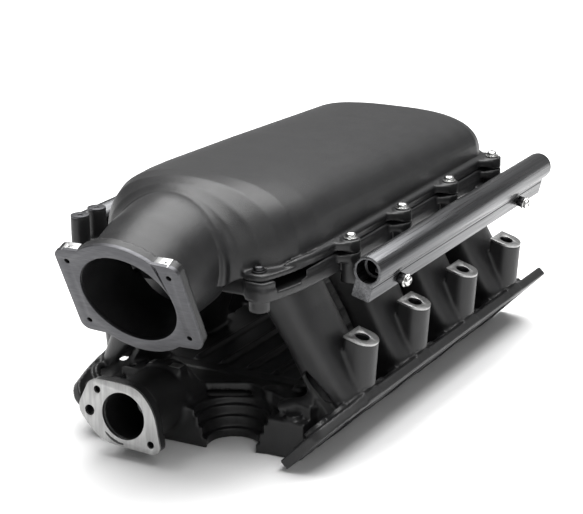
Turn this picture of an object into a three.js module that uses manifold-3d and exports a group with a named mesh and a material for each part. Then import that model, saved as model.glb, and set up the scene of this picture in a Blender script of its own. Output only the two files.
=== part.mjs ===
// Intake manifold for a V8 engine with fuel injection: a lower casting with eight runners, a domed plenum
// cover with a throttle neck at the front, two fuel rails, and the screws that hold them together.
// Millimetres. +X is the left bank, +Y the rear of the engine, +Z up.
// The shapes are laid out from a datum on the middle of the engine, level with the injector boss faces and
// abreast of the first injector of the left bank. The whole group is then moved so that its base is z = 0.
import * as THREE from "three";
import { mergeVertices } from "three/addons/utils/BufferGeometryUtils.js";
import Module from "manifold-3d";

const wasm = await Module();
wasm.setup();

// ---- driving dimensions ----
const BORE_PITCH = 111.25; // cylinder spacing of the engine
const CYLINDERS_PER_BANK = 4;
const BANK_STAGGER = 14; // the right bank sits this far ahead of the left one
const HEAD_PLANE = 207.5; // the cylinder head faces are the planes |x| - z = HEAD_PLANE
const FACE_INNER_X = 96.7; // inner edge of a head face
const FACE_OUTER_X = 148.5; // outer edge of a head face
const PLATE_THICKNESS = 11;
const PLATE_FRONT = -84;
const PLATE_REAR = 414;
const BASE_Z = -112; // lowest point of the casting
const VALLEY_TOP = -62;
const VALLEY_THICKNESS = 8;
const INJECTOR_X = 133; // middle of an injector boss face
const INJECTOR_TILT = THREE.MathUtils.degToRad(15.4);
const INJECTOR_BORE_R = 7;
const JOINT_Z = 80; // the plane where the cover meets the lower casting
const FLOOR_BOTTOM = 62;
const FLOOR_TOP = 70;
const GAP = 0.3; // left between pieces that touch
const THROTTLE_Y = -186.6;
const THROTTLE_Z = 73;
const THROTTLE_TILT = THREE.MathUtils.degToRad(25);
const THROTTLE_BORE_R = 48;
const THROTTLE_PLATE = 12;
const THROTTLE_SIDE = 64; // from the middle to a straight side of the flange
const THROTTLE_EAR = 48; // from the middle to the flat end of an ear
const THROTTLE_ARC_R = 61.8; // round stretches between the ears
const EAR_ROUND = 9;
const THROTTLE_BOLT_U = 52.6;
const THROTTLE_BOLT_V = 35.3;
const WATER_X = -50;
const WATER_Y = -130; // face of the coolant outlet
const WATER_Z = -67.5;
const WATER_BORE_R = 23.3;
const COVER_BOLT_X = 118;
const COVER_BOLT_FIRST_Y = 5.5;
const COVER_BOLT_PITCH = 106.6;
const COVER_BOLT_SEAT = 92; // top of the bosses on the cover's ears
const COVER_WALL = 5.5;
const LIP_TOP = 86;
const RAIL_X = 154;
const RAIL_Z = 76;
const RAIL_FRONT = -31;
const RAIL_REAR = 365;
const RAIL_TUBE_R = 14;
const RAIL_BORE_R = 9;
const RAIL_PORT_R = 11.2;
const RAIL_BLOCK_WIDTH = 18.4;
const RAIL_BLOCK_DEPTH = 28.5; // from the tube's axis to the underside of the block
const RAIL_BOLT_YS = [26, 305];
const RAIL_BOLT_DEPTH = 20; // from the tube's axis
const FOOT_HALF = 11; // half the width of the foot below an injector boss
const POCKET_TOP = -75; // the distributor pocket, whose steps are radius, low and high
const POCKET_X = 24;
const POCKET_Y = -56;
const POCKET_STEPS = [
  [25, BASE_Z - 2, -101],
  [29, -102, -90],
  [33, -91, -80],
  [37, -81, POCKET_TOP + 1],
];
const SIDES = [
  { name: "left", sign: 1, stagger: 0 },
  { name: "right", sign: -1, stagger: -BANK_STAGGER },
];

// ---- materials ----
function finish(color, roughness, metalness) {
  return new THREE.MeshStandardMaterial({ color, roughness, metalness });
}

const blackCasting = finish(0x0b0b0c, 0.42, 0.35);
const railAnodised = finish(0x26272a, 0.35, 0.8);
const brightSteel = finish(0xc8c8c6, 0.25, 1);
const darkSteel = finish(0x2c2d2f, 0.4, 0.9);
const sealRubber = finish(0x111111, 0.8, 0);

// ---- geometry helpers ----
function signedVolume(positions, index) {
  const a = new THREE.Vector3();
  const b = new THREE.Vector3();
  const c = new THREE.Vector3();
  let volume = 0;
  for (let i = 0; i < index.length; i += 3) {
    a.fromArray(positions, index[i] * 3);
    b.fromArray(positions, index[i + 1] * 3);
    c.fromArray(positions, index[i + 2] * 3);
    volume += a.dot(b.cross(c));
  }
  return volume;
}

// A closed geometry as a solid with its faces pointing out.
function solid(geometry) {
  const bare = geometry.index ? geometry.toNonIndexed() : geometry.clone();
  bare.deleteAttribute("normal");
  bare.deleteAttribute("uv");
  const merged = mergeVertices(bare, 1e-3);
  const vertProperties = merged.attributes.position.array;
  const triVerts = new Uint32Array(merged.index.array);
  if (signedVolume(vertProperties, triVerts) < 0) triVerts.reverse();
  return new wasm.Manifold(new wasm.Mesh({ numProp: 3, vertProperties, triVerts }));
}

function join(...solids) {
  return solids.flat().reduce((whole, piece) => whole.add(piece));
}

function cut(body, ...tools) {
  return tools.flat().reduce((left, tool) => left.subtract(tool), body);
}

function meshOf(name, body, material) {
  const { vertProperties, triVerts } = body.getMesh();
  const geometry = new THREE.BufferGeometry();
  geometry.setAttribute("position", new THREE.BufferAttribute(vertProperties, 3));
  geometry.setIndex(new THREE.BufferAttribute(triVerts, 1));
  geometry.computeVertexNormals();
  const mesh = new THREE.Mesh(geometry, material);
  mesh.name = name;
  return mesh;
}

// An outline through corner points, each corner rounded by its own radius: [x, y, radius].
function roundedOutline(corners) {
  const shape = new THREE.Shape();
  corners.forEach(([x, y, radius = 0], i) => {
    const corner = new THREE.Vector2(x, y);
    const before = new THREE.Vector2(...corners.at(i - 1));
    const after = new THREE.Vector2(...corners[(i + 1) % corners.length]);
    const entry = corner.clone().add(before.sub(corner).setLength(radius));
    const exit = corner.clone().add(after.sub(corner).setLength(radius));
    if (i === 0) shape.moveTo(entry.x, entry.y);
    else shape.lineTo(entry.x, entry.y);
    if (radius > 0) shape.quadraticCurveTo(x, y, exit.x, exit.y);
  });
  shape.closePath();
  return shape;
}

function mirrored(points) {
  return [...points, ...points.map(([x, ...rest]) => [-x, ...rest]).reverse()];
}

function extrudeZ(shape, low, high, curveSegments = 3) {
  const depth = high - low;
  const geometry = new THREE.ExtrudeGeometry(shape, { depth, bevelEnabled: false, curveSegments });
  return geometry.translate(0, 0, low);
}

// An outline in x and z, extruded from front to rear.
function extrudeY(shape, front, rear, curveSegments = 3) {
  const depth = rear - front;
  const geometry = new THREE.ExtrudeGeometry(shape, { depth, bevelEnabled: false, curveSegments });
  return geometry.rotateX(Math.PI / 2).translate(0, rear, 0);
}

function box(x0, x1, y0, y1, z0, z1) {
  const geometry = new THREE.BoxGeometry(Math.abs(x1 - x0), y1 - y0, z1 - z0);
  return solid(geometry.translate((x0 + x1) / 2, (y0 + y1) / 2, (z0 + z1) / 2));
}

// A cylinder or cone frustum between two points.
function rod(start, end, radius, segments = 20, endRadius = radius) {
  const from = new THREE.Vector3(...start);
  const along = new THREE.Vector3(...end).sub(from);
  const geometry = new THREE.CylinderGeometry(endRadius, radius, along.length(), segments);
  geometry.translate(0, along.length() / 2, 0);
  const upright = new THREE.Vector3(0, 1, 0);
  const turn = new THREE.Quaternion().setFromUnitVectors(upright, along.clone().normalize());
  return solid(geometry.applyQuaternion(turn).translate(from.x, from.y, from.z));
}

// A closed skin through rings that have the same number of points.
function loft(rings) {
  const sides = rings[0].length;
  const middle = (ring) => ring.reduce((sum, p) => sum.add(p), new THREE.Vector3()).divideScalar(sides);
  const points = [...rings.flat(), middle(rings[0]), middle(rings.at(-1))];
  const positions = new Float32Array(points.flatMap((p) => [p.x, p.y, p.z]));
  const index = [];
  const firstCap = points.length - 2;
  const lastRing = (rings.length - 1) * sides;
  for (let i = 0; i < sides; i++) {
    const next = (i + 1) % sides;
    for (let k = 0; k < rings.length - 1; k++) {
      const low = k * sides;
      const high = low + sides;
      index.push(low + i, low + next, high + next, low + i, high + next, high + i);
    }
    index.push(firstCap, next, i, firstCap + 1, lastRing + i, lastRing + next);
  }
  const geometry = new THREE.BufferGeometry();
  geometry.setAttribute("position", new THREE.BufferAttribute(positions, 3));
  geometry.setIndex(index);
  return solid(geometry);
}

// A point of a superellipse of half-sizes 1: an exponent of 2 gives a circle, a higher one squares it off.
function superPoint(angle, exponent) {
  const power = 2 / exponent;
  const bend = (value) => Math.sign(value) * Math.abs(value) ** power;
  return [bend(Math.cos(angle)), bend(Math.sin(angle))];
}

// ---- plenum cover ----
// Stations from the throttle flange to the rear wall: y and z of the middle, forward lean in degrees,
// half-width, height above and below the middle, and the squareness above and below.
const COVER_STATIONS = [
  [-179, 76, 25, 55, 55, 55, 2, 2],
  [-150, 87.5, 22, 56, 57, 55, 2, 2],
  [-128, 94, 16, 62, 60, 42, 2.1, 2.2],
  [-110, 95, 9, 72, 62.5, 14.7, 2.2, 4],
  [-92, 94, 3, 82, 64.5, 13.7, 2.4, 8],
  [-72, 93, 0, 96, 64, 12.7, 2.7, 12],
  [-48, 92, 0, 103, 62.5, 11.7, 3, 14],
  [-10, 92, 0, 105, 61, 11.7, 3.2, 14],
  [120, 92, 0, 105, 55.5, 11.7, 3.2, 14],
  [250, 92, 0, 105, 48, 11.7, 3.2, 14],
  [318, 92, 0, 105, 44, 11.7, 3.2, 14],
  [332, 92, 0, 101, 41, 11.7, 3.1, 14],
  [341, 92, 0, 92, 34, 11.7, 2.9, 12],
  [346, 92, 0, 80, 22, 11.7, 2.6, 10],
];
const COVER_RING_POINTS = 28;

function coverRing([y, z, lean, halfWidth, up, down, upSquare, downSquare], inset = 0) {
  const tilt = THREE.MathUtils.degToRad(lean);
  return Array.from({ length: COVER_RING_POINTS }, (_, i) => {
    const angle = (2 * Math.PI * i) / COVER_RING_POINTS;
    const above = Math.sin(angle) >= 0;
    const [u, v] = superPoint(angle, above ? upSquare : downSquare);
    const height = v * ((above ? up : down) - inset);
    const across = u * (halfWidth - inset);
    return new THREE.Vector3(across, y - height * Math.sin(tilt), z + height * Math.cos(tilt));
  });
}

// A point on the throttle flange: u across, v up the face, w out of the face towards the throttle body.
function throttlePoint(u, v, w) {
  const forward = Math.cos(THROTTLE_TILT);
  const lean = Math.sin(THROTTLE_TILT);
  return [u, THROTTLE_Y - v * lean - w * forward, THROTTLE_Z + v * forward - w * lean];
}

function throttleFlange() {
  const arcAngle = Math.asin(THROTTLE_EAR / THROTTLE_ARC_R) + 0.02;
  const corner = THROTTLE_SIDE - EAR_ROUND;
  const shoulder = THROTTLE_EAR - EAR_ROUND;
  const shape = new THREE.Shape();
  shape.moveTo(THROTTLE_SIDE, -shoulder);
  shape.absarc(corner, shoulder, EAR_ROUND, 0, Math.PI / 2, false);
  shape.absarc(0, 0, THROTTLE_ARC_R, arcAngle, Math.PI - arcAngle, false);
  shape.absarc(-corner, shoulder, EAR_ROUND, Math.PI / 2, Math.PI, false);
  shape.absarc(-corner, -shoulder, EAR_ROUND, Math.PI, 1.5 * Math.PI, false);
  shape.absarc(0, 0, THROTTLE_ARC_R, Math.PI + arcAngle, 2 * Math.PI - arcAngle, false);
  shape.absarc(corner, -shoulder, EAR_ROUND, 1.5 * Math.PI, 2 * Math.PI, false);
  const depth = THROTTLE_PLATE;
  const plate = new THREE.ExtrudeGeometry(shape, { depth, bevelEnabled: false, curveSegments: 8 });
  plate.rotateX(Math.PI / 2 + THROTTLE_TILT);
  plate.translate(...throttlePoint(0, 0, -THROTTLE_PLATE));
  return solid(plate);
}

function throttleTappings() {
  const boltRadius = 3;
  return [-1, 1].flatMap((across) =>
    [-1, 1].map((up) => {
      const [u, v] = [across * THROTTLE_BOLT_U, up * THROTTLE_BOLT_V];
      return rod(throttlePoint(u, v, 1), throttlePoint(u, v, -10), boltRadius, 12);
    }),
  );
}

// Two bosses for a bracket, on a web at the right of the neck.
function bracketPosts() {
  const postX = -70;
  const postTop = 132.6;
  const postBottom = 92;
  const postR = 8.5;
  const posts = [-155, -129].map((y) => {
    const post = rod([postX, y, postBottom], [postX, y, postTop], postR, 20);
    const tapping = rod([postX, y, postTop - 14], [postX, y, postTop + 1], 2, 10);
    return cut(post, tapping);
  });
  return join(posts, box(postX, -50, -159, -125, postBottom, 104));
}

function coverBolts() {
  const rows = Array.from({ length: CYLINDERS_PER_BANK }, (_, k) => {
    const y = COVER_BOLT_FIRST_Y + k * COVER_BOLT_PITCH;
    return { x: COVER_BOLT_X, y, seat: COVER_BOLT_SEAT };
  });
  const front = { x: 84, y: -104, seat: 87 };
  const rear = { x: 44, y: 354, seat: COVER_BOLT_SEAT - 2 };
  return [front, ...rows, rear].flatMap(({ x, y, seat }, i) =>
    SIDES.map(({ name, sign }) => ({ label: `${name}_${i + 1}`, x: sign * x, y, seat })),
  );
}

// The joint between cover and lower casting: its outer edge, with a shoulder for each front screw, and the
// plain inner line that the seal and the well follow.
const JOINT_OUTER = [
  [66, -102, 4],
  [73, -113, 6],
  [93, -115, 9],
  [105, -72, 24],
  [109, -10, 20],
  [109, 346, 30],
];
const JOINT_INNER = [
  [76, -100, 8],
  [103, -74, 24],
  [109, -10, 20],
  [109, 346, 30],
];

function jointOutline(corners, grow = 0) {
  const moved = corners.map(([x, y, radius]) => [x + grow, y + Math.sign(y - 100) * grow, radius]);
  return roundedOutline(mirrored(moved));
}

function earPads(low, radius) {
  return coverBolts().map(({ x, y, seat }) => {
    const top = low > JOINT_Z ? seat : JOINT_Z;
    const pad = rod([x, y, low], [x, y, top], radius, 12);
    const inward = new THREE.Vector2(Math.abs(x) > 60 ? -Math.sign(x) * 14 : 0, Math.abs(x) > 60 ? 0 : -14);
    const web = roundedOutline(
      inward.x
        ? [
            [x + inward.x, y - 17],
            [x + Math.sign(x) * 4, y - 8],
            [x + Math.sign(x) * 4, y + 8],
            [x + inward.x, y + 17],
          ]
        : [
            [x - 17, y + inward.y],
            [x + 17, y + inward.y],
            [x + 8, y + 4],
            [x - 8, y + 4],
          ],
    );
    return join(pad, solid(extrudeZ(web, low, top - 1.5)));
  });
}

function plenumCover() {
  const skin = loft(COVER_STATIONS.map((station) => coverRing(station)));
  const lip = solid(extrudeZ(jointOutline(JOINT_OUTER), JOINT_Z + GAP, LIP_TOP));
  const outer = join(skin, lip, throttleFlange(), bracketPosts(), earPads(JOINT_Z + GAP, 9.5));
  const cavityStations = COVER_STATIONS.slice(0, -2).map((station) => [...station]);
  cavityStations.at(-1)[0] -= COVER_WALL;
  const cavity = loft(cavityStations.map((station) => coverRing(station, COVER_WALL)));
  const throat = rod(throttlePoint(0, 0, 2), throttlePoint(0, 0, -34), THROTTLE_BORE_R, 44);
  const floorOpening = solid(extrudeZ(jointOutline(JOINT_INNER, -15), JOINT_Z - 1, JOINT_Z + 14));
  const screwHoles = coverBolts().map(({ x, y, seat }) => rod([x, y, 70], [x, y, seat + 1], 3.4, 8));
  return cut(outer, cavity, throat, floorOpening, throttleTappings(), screwHoles);
}

// ---- lower casting ----
// The middle line of a runner: x and z, the direction across it in the x-z plane, half-sizes across and
// along the engine. It starts under the plenum floor and ends on the head face.
const RUNNER_STATIONS = [
  [60, 66, 0, 25, 36],
  [74, 32, 26, 22, 35],
  [93, -8, 28, 20, 34],
  [108, -45, 32, 21, 33],
  [120.5, -87, 45, 24, 33],
];
const RUNNER_RING_POINTS = 10;
const RUNNER_WALL = 4.5;
const RUNNER_FAN = [-24, -16, -19, -26]; // how far the top of each runner leans towards the rear

function runnerRing([x, z, turn, across, along], y, fan, inset = 0) {
  const angle = THREE.MathUtils.degToRad(turn);
  const middle = y + fan * THREE.MathUtils.clamp((z + 60) / (FLOOR_BOTTOM + 60), 0, 1);
  return Array.from({ length: RUNNER_RING_POINTS }, (_, i) => {
    const [u, v] = superPoint((2 * Math.PI * i) / RUNNER_RING_POINTS, 3.4);
    const reach = u * (across - inset);
    const alongside = middle + v * (along - inset);
    return new THREE.Vector3(x + reach * Math.cos(angle), alongside, z + reach * Math.sin(angle));
  });
}

function mirrorTo(sign, rings) {
  return rings.map((ring) => ring.map((p) => new THREE.Vector3(p.x * sign, p.y, p.z)));
}

function eachCylinder(make) {
  return SIDES.flatMap((side) =>
    Array.from({ length: CYLINDERS_PER_BANK }, (_, k) => make(side, k * BORE_PITCH + side.stagger, k)),
  );
}

function runnerFan(side, k) {
  return RUNNER_FAN[k] - side.stagger;
}

function runnerOutside(side, y, k) {
  const rings = RUNNER_STATIONS.map((station) => runnerRing(station, y, runnerFan(side, k)));
  return loft(mirrorTo(side.sign, rings));
}

function runnerPassage(side, y, k) {
  const above = [58, 95, 0, 27, 38];
  const beyond = [124, -99, 45, 24, 33];
  const stations = [above, ...RUNNER_STATIONS.slice(1, 4), beyond];
  const rings = stations.map((station) => runnerRing(station, y, runnerFan(side, k), RUNNER_WALL));
  return loft(mirrorTo(side.sign, rings));
}

// A point near an injector boss: out is away from the engine across the face, up is along the bore.
function injectorPoint(sign, y, out, up) {
  const x = INJECTOR_X + out * Math.cos(INJECTOR_TILT) + up * Math.sin(INJECTOR_TILT);
  return [sign * x, y, -out * Math.sin(INJECTOR_TILT) + up * Math.cos(INJECTOR_TILT)];
}

// A D-shaped boss with a tilted top and upright sides, and a foot that reaches the edge of the head plate.
function injectorBoss({ sign }, y) {
  const half = 15.5;
  const flatAt = -13; // the straight side, towards the engine
  const drop = 46;
  const lean = 4; // how much further inboard the bottom of the boss is
  const middle = y + 1.2;
  const steps = 12;
  const arc = Array.from({ length: steps + 1 }, (_, i) => Math.PI * (i / steps - 0.5));
  const round = arc.map((a) => [half * Math.cos(a), half * Math.sin(a)]);
  const outline = [[flatAt, -half], ...round, [flatAt, half]];
  const top = outline.map(([out, along]) => new THREE.Vector3(...injectorPoint(1, middle + along, out, 0)));
  const bottom = top.map((p) => new THREE.Vector3(p.x - lean, p.y, p.z - drop));
  const foot = roundedOutline([
    [108, -58],
    [116, -30],
    [133, -30],
    [145, -50],
    [138, -62],
  ]);
  const web = extrudeY(foot, middle - FOOT_HALF, middle + FOOT_HALF).scale(sign, 1, 1);
  return join(loft(mirrorTo(sign, [top, bottom])), solid(web));
}

function injectorBore({ sign }, y) {
  return rod(injectorPoint(sign, y, 0, 1), injectorPoint(sign, y, 0, -50), INJECTOR_BORE_R, 12);
}

// A point on a head plate: across runs from the inner edge outwards and down the face, and lift is off
// the face.
function platePoint(sign, across, y, lift) {
  const diagonal = Math.SQRT1_2;
  const x = FACE_INNER_X + across * diagonal - lift * diagonal;
  return [sign * x, y, FACE_INNER_X - HEAD_PLANE + (across + lift) * diagonal];
}

function headPlate({ sign, stagger }) {
  const drop = PLATE_THICKNESS * Math.SQRT2;
  const outline = roundedOutline([
    [FACE_INNER_X, FACE_INNER_X - HEAD_PLANE],
    [FACE_OUTER_X, FACE_OUTER_X - HEAD_PLANE],
    [FACE_OUTER_X - drop / 2, FACE_OUTER_X - HEAD_PLANE + drop / 2],
    [FACE_INNER_X - drop / 2, FACE_INNER_X - HEAD_PLANE + drop / 2],
  ]);
  const plate = solid(extrudeY(outline, PLATE_FRONT + stagger, PLATE_REAR + stagger).scale(sign, 1, 1));
  const front = PLATE_FRONT + stagger;
  const corners = [
    [46, front - 1],
    [58, front + 7],
    [76, front + 66],
    [88, front + 66],
    [88, front - 1],
  ];
  const lifts = [-4, PLATE_THICKNESS + 4];
  const [low, high] = lifts.map((lift) =>
    corners.map(([across, y]) => new THREE.Vector3(...platePoint(sign, across, y, lift))),
  );
  return cut(plate, loft([low, high]));
}

const PLATE_BOLTS = [
  [40, -60, 5.5],
  [49, -38, 8],
  [40, 55.6, 5.5],
  [40, 166.9, 5.5],
  [40, 278.1, 5.5],
  [40, 392, 5.5],
];

function plateBosses({ sign, stagger }) {
  return PLATE_BOLTS.map(([across, y, radius]) => {
    const start = platePoint(sign, across, y + stagger, 2);
    return rod(start, platePoint(sign, across, y + stagger, PLATE_THICKNESS + 5), radius + 6.5, 12);
  });
}

function plateHoles({ sign, stagger }) {
  return PLATE_BOLTS.map(([across, y, radius]) => {
    const start = platePoint(sign, across, y + stagger, -3);
    return rod(start, platePoint(sign, across, y + stagger, 60), radius, 10);
  });
}

function headFaceTrim({ sign }) {
  const outline = roundedOutline([
    [FACE_INNER_X - 30, FACE_INNER_X - 30 - HEAD_PLANE],
    [FACE_OUTER_X + 30, FACE_OUTER_X + 30 - HEAD_PLANE],
    [FACE_OUTER_X + 30, -260],
    [FACE_INNER_X - 30, -260],
  ]);
  return solid(extrudeY(outline, -200, 500).scale(sign, 1, 1));
}

// The plate between the heads, its end walls, and the coolant crossover, which bends round the distributor.
function valley() {
  const reach = 100;
  const crossover = [
    [-reach, -62],
    [-45, -47, 4],
    [19, -12, 6],
    [90, -42, 4],
    [reach, -42],
    [reach, 12],
    [-reach, 12],
  ];
  const frontWall = [
    [-reach, -70],
    [0, -70],
    [62, -55],
    [reach, -55],
    [reach, -8],
    [-reach, -8],
  ];
  return [
    box(-reach, reach, -2, 384, VALLEY_TOP - VALLEY_THICKNESS, VALLEY_TOP),
    box(-reach, reach, 368, 388, BASE_Z, VALLEY_TOP),
    solid(extrudeZ(roundedOutline(crossover), BASE_Z + 22, VALLEY_TOP)),
    solid(extrudeZ(roundedOutline(frontWall), BASE_Z, POCKET_TOP)),
  ];
}

// Stepped half-round clearance for the distributor, which widens upwards in ledges.
function distributorPocket() {
  return POCKET_STEPS.map(([radius, low, high]) =>
    rod([POCKET_X, POCKET_Y, low], [POCKET_X, POCKET_Y, high], radius, 24),
  );
}

function waterFlangeOutline() {
  return roundedOutline([
    [WATER_X - 36, -35.5, 9],
    [WATER_X - 52, -67, 9],
    [WATER_X - 29, -97, 19],
    [WATER_X + 34, -100.5, 5],
    [WATER_X + 40, -94, 3],
    [WATER_X + 34, -56, 12],
    [WATER_X + 17, -35.5, 12],
  ]);
}

function waterOutlet() {
  const plate = solid(extrudeY(waterFlangeOutline(), WATER_Y, WATER_Y + 12));
  const neck = rod([WATER_X, WATER_Y + 6, WATER_Z], [WATER_X - 4, -46, WATER_Z - 9], 30, 24, 34);
  return [plate, neck];
}

function waterPassages() {
  const seatFront = [WATER_X, WATER_Y - 1, WATER_Z];
  const seatRear = [WATER_X, WATER_Y + 5, WATER_Z];
  const thermostatSeat = rod(seatFront, seatRear, WATER_BORE_R + 2.5, 20);
  const bore = rod([WATER_X, WATER_Y - 1, WATER_Z], [WATER_X, -60, WATER_Z - 6], WATER_BORE_R, 20);
  const toRight = rod([WATER_X, -64, WATER_Z - 8], [-128, -34, -112], 16, 20, 14);
  const bend = [POCKET_X, -3, -77];
  const toLeft = rod([WATER_X, -44, -76], bend, 7.5, 12);
  const leftPort = rod(bend, [119, -32, -114], 7.5, 12);
  const tappings = [
    [WATER_X - 28, -45.5],
    [WATER_X + 29.5, -90.5],
  ].map(([x, z]) => rod([x, WATER_Y - 1, z], [x, WATER_Y + 14, z], 3.6, 12));
  const bypass = rod([WATER_X - 37.5, WATER_Y - 1, -68], [WATER_X - 37.5, WATER_Y + 20, -68], 5.2, 14);
  return [thermostatSeat, bore, toRight, join(toLeft, leftPort), tappings, bypass].flat();
}

function jointFlange() {
  const upper = solid(extrudeZ(jointOutline(JOINT_OUTER, 2), 72, JOINT_Z));
  const lower = solid(extrudeZ(jointOutline(JOINT_OUTER, -3), FLOOR_BOTTOM, 73));
  return [upper, lower, ...earPads(60, 9.5)];
}

function sealRing(outerGrow, width, low, high) {
  const ring = jointOutline(JOINT_INNER, outerGrow);
  ring.holes.push(jointOutline(JOINT_INNER, outerGrow - width));
  return solid(extrudeZ(ring, low, high));
}

function railStands({ sign }) {
  return RAIL_BOLT_YS.map((y) => {
    const outline = roundedOutline([
      [98, 63],
      [98, 54],
      [112, 50],
      [134.8, 51.5],
      [138, 62.5],
      [118, 66],
    ]);
    return solid(extrudeY(outline, y - 9, y + 9).scale(sign, 1, 1));
  });
}

function lowerManifold() {
  const outside = join(
    SIDES.map(headPlate),
    SIDES.flatMap(plateBosses),
    valley(),
    waterOutlet(),
    jointFlange(),
    SIDES.flatMap(railStands),
    eachCylinder(runnerOutside),
    eachCylinder(injectorBoss),
  );
  const wellFloor = solid(extrudeZ(jointOutline(JOINT_INNER, -18), FLOOR_TOP, JOINT_Z + 1));
  const screwHoles = coverBolts().map(({ x, y }) => rod([x, y, 66], [x, y, JOINT_Z + 20], 3.4, 8));
  return cut(
    outside,
    SIDES.map(headFaceTrim),
    distributorPocket(),
    wellFloor,
    sealRing(-7, 4.4, 77, JOINT_Z + 1),
    waterPassages(),
    SIDES.flatMap(plateHoles),
    eachCylinder(runnerPassage),
    eachCylinder(injectorBore),
    screwHoles,
    SIDES.flatMap(railBoltHoles),
  );
}

// ---- fuel rails ----
// A point near a rail: out is away from the engine across the block, up is along the injectors.
function railPoint(sign, y, out, up) {
  const x = RAIL_X + out * Math.cos(INJECTOR_TILT) + up * Math.sin(INJECTOR_TILT);
  return [sign * x, y, RAIL_Z - out * Math.sin(INJECTOR_TILT) + up * Math.cos(INJECTOR_TILT)];
}

function railBoltHoles({ sign }) {
  return RAIL_BOLT_YS.map((y) =>
    rod(railPoint(sign, y, 16, -RAIL_BOLT_DEPTH), railPoint(sign, y, -26, -RAIL_BOLT_DEPTH), 3.4, 8),
  );
}

function fuelRail(side) {
  const half = RAIL_BLOCK_WIDTH / 2;
  const shoulder = Math.acos(half / RAIL_TUBE_R);
  const section = new THREE.Shape();
  section.moveTo(-half, -RAIL_BLOCK_DEPTH);
  section.lineTo(half, -RAIL_BLOCK_DEPTH);
  section.absarc(0, 0, RAIL_TUBE_R, -shoulder, Math.PI + shoulder, false);
  section.closePath();
  const body = extrudeY(section, RAIL_FRONT, RAIL_REAR, 14);
  body.rotateY(INJECTOR_TILT).translate(RAIL_X, 0, RAIL_Z).scale(side.sign, 1, 1);
  const end = (y, up = 0) => railPoint(side.sign, y, 0, up);
  const bore = rod(end(RAIL_FRONT - 1), end(RAIL_REAR + 1), RAIL_BORE_R, 14);
  const ports = [
    rod(end(RAIL_FRONT - 1), end(RAIL_FRONT + 17), RAIL_PORT_R, 16),
    rod(end(RAIL_REAR - 17), end(RAIL_REAR + 1), RAIL_PORT_R, 16),
  ];
  const cups = Array.from({ length: CYLINDERS_PER_BANK }, (_, k) => {
    const y = k * BORE_PITCH + side.stagger;
    return rod(end(y, -RAIL_BLOCK_DEPTH - 1), end(y, -5), INJECTOR_BORE_R, 12);
  });
  return cut(solid(body), bore, ports, cups, railBoltHoles(side));
}

// ---- fasteners and plugs ----
// A button-head screw that points down its own -Z axis, with a hexagonal socket in the head.
function screw(headR, headHeight, shankR, length) {
  const profile = [
    [0, -length],
    [shankR, -length],
    [shankR, 0],
    [headR, 0],
    [headR, headHeight * 0.45],
    [headR * 0.62, headHeight],
    [0, headHeight],
  ].map(([r, z]) => new THREE.Vector2(r, z));
  const turned = new THREE.LatheGeometry(profile, 10).rotateX(Math.PI / 2);
  const socket = new THREE.CylinderGeometry(headR * 0.42, headR * 0.42, headHeight, 6);
  socket.rotateX(Math.PI / 2).translate(0, 0, headHeight * 0.95);
  return cut(solid(turned), solid(socket));
}

function washer(outerR, innerR, thickness) {
  const ring = new THREE.Shape().absarc(0, 0, outerR, 0, 2 * Math.PI, false);
  ring.holes.push(new THREE.Path().absarc(0, 0, innerR, 0, 2 * Math.PI, true));
  return solid(extrudeZ(ring, 0, thickness, 6));
}

function addAt(group, mesh, position, turnY = 0) {
  mesh.position.set(...position);
  mesh.rotation.y = turnY;
  group.add(mesh);
}

function addCoverScrews(group) {
  const washerThickness = 1.4;
  coverBolts().forEach(({ label, x, y, seat }) => {
    const ring = washer(6.8, 3.4, washerThickness);
    addAt(group, meshOf(`cover_washer_${label}`, ring, brightSteel), [x, y, seat + GAP]);
    const bolt = screw(5, 4.4, 3, 22);
    const screwPlace = [x, y, seat + washerThickness + 2 * GAP];
    addAt(group, meshOf(`cover_screw_${label}`, bolt, brightSteel), screwPlace);
  });
}

function addRailFasteners(group, { name, sign }) {
  const collarLength = 6;
  const washerThickness = 1.5;
  RAIL_BOLT_YS.forEach((y, i) => {
    const label = `${name}_${i + 1}`;
    const turnY = sign * (Math.PI / 2 + INJECTOR_TILT);
    const at = (out) => railPoint(sign, y, RAIL_BLOCK_WIDTH / 2 + out, -RAIL_BOLT_DEPTH);
    const collar = meshOf(`rail_collar_${label}`, washer(5.4, 3.4, collarLength), darkSteel);
    addAt(group, collar, at(GAP), turnY);
    const ring = meshOf(`rail_washer_${label}`, washer(6.6, 3.4, washerThickness), brightSteel);
    addAt(group, ring, at(collarLength + 2 * GAP), turnY);
    const bolt = meshOf(`rail_bolt_${label}`, screw(5, 4.6, 3, 38), brightSteel);
    addAt(group, bolt, at(collarLength + washerThickness + 3 * GAP), turnY);
  });
}

function railPlug() {
  const body = rod([0, 0, 0], [0, 14, 0], RAIL_PORT_R - GAP, 14);
  const head = rod([0, 14, 0], [0, 18, 0], RAIL_TUBE_R - 0.5, 14);
  const socket = rod([0, 11, 0], [0, 19, 0], 5, 6);
  return cut(join(body, head), socket);
}

// ---- assembly ----
const model = new THREE.Group();
model.add(meshOf("lower_manifold", lowerManifold(), blackCasting));
model.add(meshOf("plenum_cover", plenumCover(), blackCasting));
model.add(meshOf("plenum_seal", sealRing(-7.3, 3.8, 77.3, JOINT_Z), sealRubber));
for (const side of SIDES) {
  model.add(meshOf(`fuel_rail_${side.name}`, fuelRail(side), railAnodised));
  const plug = meshOf(`rail_plug_${side.name}`, railPlug(), darkSteel);
  addAt(model, plug, railPoint(side.sign, RAIL_REAR - 13.7, 0, 0));
  addRailFasteners(model, side);
}
addCoverScrews(model);

// The base goes to z = 0 and the middle of the length to y = 0.
const FRONT_Y = throttlePoint(0, THROTTLE_ARC_R, 0)[1];
const part = new THREE.Group();
model.position.set(0, -(FRONT_Y + PLATE_REAR) / 2, -BASE_Z);
part.add(model);

export default part;
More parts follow.
